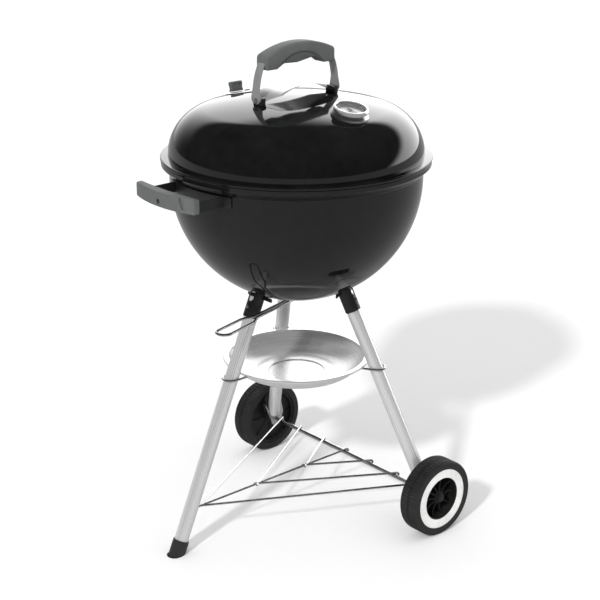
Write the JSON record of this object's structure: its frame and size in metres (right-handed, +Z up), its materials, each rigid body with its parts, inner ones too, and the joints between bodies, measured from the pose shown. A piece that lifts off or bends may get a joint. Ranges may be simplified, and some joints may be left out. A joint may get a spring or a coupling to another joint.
{
  "type": "kettle charcoal grill",
  "caption": "Round kettle charcoal grill with a domed lid, wire rack, ash pan and one-lever ash sweeper, on three splayed legs, two with wheels.",
  "frame": {"origin": "on the floor, on the vertical axis of the bowl", "axes": "+Z up; the front leg and the side handle lie towards -Y; the wheel axle runs along X at +Y"},
  "size_m": [0.528, 0.5462, 0.9],
  "materials": {
    "enamel": "gloss black porcelain enamel",
    "black_bracket": "satin black coated steel",
    "leg_aluminium": "satin drawn tube",
    "pan_aluminium": "satin spun sheet",
    "plated_wire": "bright plated wire",
    "polished_steel": "polished sheet",
    "brushed_steel": "brushed stainless",
    "strap_steel": "satin grey strap",
    "grip_nylon": "fine grained glass-filled nylon",
    "black_plastic": "moulded",
    "wheel_plastic": "moulded",
    "tyre": "ribbed tread",
    "white_band": "plain pale band",
    "dial": "satin grey dial",
    "needle": "matt black",
    "glass": "clear flat glass",
    "plated_steel": "zinc plated"
  },
  "bodies": {
    "bowl_and_stand": {"bowl": "enamel", "grate_rests": "plated_steel", "axle": "plated_wire", "bottom_rack": "plated_wire", "ash_pan": "pan_aluminium", "foot_cap": "black_plastic", "side_grip_screw": "plated_steel", "handle_bracket": "black_bracket", "side_grip": "grip_nylon", "leg_socket_front": "black_bracket", "leg_socket_right": "black_bracket", "leg_socket_left": "black_bracket", "leg_front": "leg_aluminium", "leg_right": "leg_aluminium", "leg_left": "leg_aluminium", "pan_clip_front": "plated_wire", "pan_clip_right": "plated_wire", "pan_clip_left": "plated_wire", "axle_bracket_left": "leg_aluminium", "axle_bracket_right": "leg_aluminium", "axle_hood_left": "black_plastic", "axle_hood_right": "black_plastic", "axle_cap_left": "black_plastic", "axle_cap_right": "black_plastic"},
    "lid": {"lid": "enamel", "lid_handle_lugs": "black_bracket", "lid_strap_front": "strap_steel", "lid_strap_rear": "strap_steel", "lid_grip_cover": "grip_nylon", "lid_grip_insert": "grip_nylon", "heat_shield": "polished_steel", "lid_handle_screws": "plated_steel", "thermometer_case": "brushed_steel", "thermometer_bezel": "polished_steel", "thermometer_dial": "dial", "thermometer_glass": "glass", "thermometer_stem": "plated_steel", "thermometer_nut": "plated_steel", "damper_rivet": "plated_steel", "lid_hook": "plated_wire"},
    "damper": {"lid_damper": "pan_aluminium", "damper_knob": "grip_nylon"},
    "needle": {"thermometer_needle": "needle"},
    "sweeper": {"sweeper_blades": "plated_steel", "sweeper_spindle": "plated_steel", "sweeper_nut": "plated_steel", "cleaning_lever": "plated_wire"},
    "wheel_left": {"wheel_hub_left": "wheel_plastic", "tyre_left": "tyre", "wheel_band_left": "white_band"},
    "wheel_right": {"wheel_hub_right": "wheel_plastic", "tyre_right": "tyre", "wheel_band_right": "white_band"},
    "cooking_grate": {"cooking_grate": "plated_wire"},
    "charcoal_grate": {"charcoal_grate": "plated_steel"},
    "leg_button_front": {"leg_button_front": "plated_steel"},
    "leg_button_right": {"leg_button_right": "plated_steel"},
    "leg_button_left": {"leg_button_left": "plated_steel"}
  },
  "joints": [
    {"name": "lid_lift", "type": "slide", "parent": "bowl_and_stand", "child": "lid", "axis": [0, 0, 1], "range_m": [0, 0.45]},
    {"name": "cooking_grate_lift", "type": "slide", "parent": "bowl_and_stand", "child": "cooking_grate", "axis": [0, 0, 1], "range_m": [0, 0.27]},
    {"name": "charcoal_grate_lift", "type": "slide", "parent": "bowl_and_stand", "child": "charcoal_grate", "axis": [0, 0, 1], "range_m": [0, 0.225]},
    {"name": "damper_turn", "type": "hinge", "parent": "lid", "child": "damper", "pos_m": [-0.135, 0, 0.79109], "axis": [-0.2039, 0, 0.979], "range_deg": [0, 45]},
    {"name": "needle_turn", "type": "hinge", "parent": "lid", "child": "needle", "pos_m": [0.138, 0, 0.79046], "axis": [-0.2085, 0, -0.978], "range_deg": [0, 270]},
    {"name": "sweeper_turn", "type": "hinge", "parent": "bowl_and_stand", "child": "sweeper", "pos_m": [0, 0, 0.429], "axis": [0, 0, 1], "range_deg": [0, 84]},
    {"name": "wheel_left_spin", "type": "hinge", "parent": "bowl_and_stand", "child": "wheel_left", "pos_m": [-0.244, 0.1284, 0.0725], "axis": [1, 0, 0], "continuous": true},
    {"name": "wheel_right_spin", "type": "hinge", "parent": "bowl_and_stand", "child": "wheel_right", "pos_m": [0.244, 0.1284, 0.0725], "axis": [1, 0, 0], "continuous": true},
    {"name": "leg_button_front_press", "type": "slide", "parent": "bowl_and_stand", "child": "leg_button_front", "axis": [0, 0.9186, -0.3953], "range_m": [0, 0.0038], "stiffness_N_per_m": 400, "springref_m": -0.002},
    {"name": "leg_button_right_press", "type": "slide", "parent": "bowl_and_stand", "child": "leg_button_right", "axis": [-0.7955, -0.4593, -0.3953], "range_m": [0, 0.0038], "stiffness_N_per_m": 400, "springref_m": -0.002},
    {"name": "leg_button_left_press", "type": "slide", "parent": "bowl_and_stand", "child": "leg_button_left", "axis": [0.7955, -0.4593, -0.3953], "range_m": [0, 0.0038], "stiffness_N_per_m": 400, "springref_m": -0.002}
  ],
  "couplings": [
    {"joint": "cooking_grate_lift", "follows": "lid_lift", "ratio": 0.6},
    {"joint": "charcoal_grate_lift", "follows": "lid_lift", "ratio": 0.5}
  ]
}
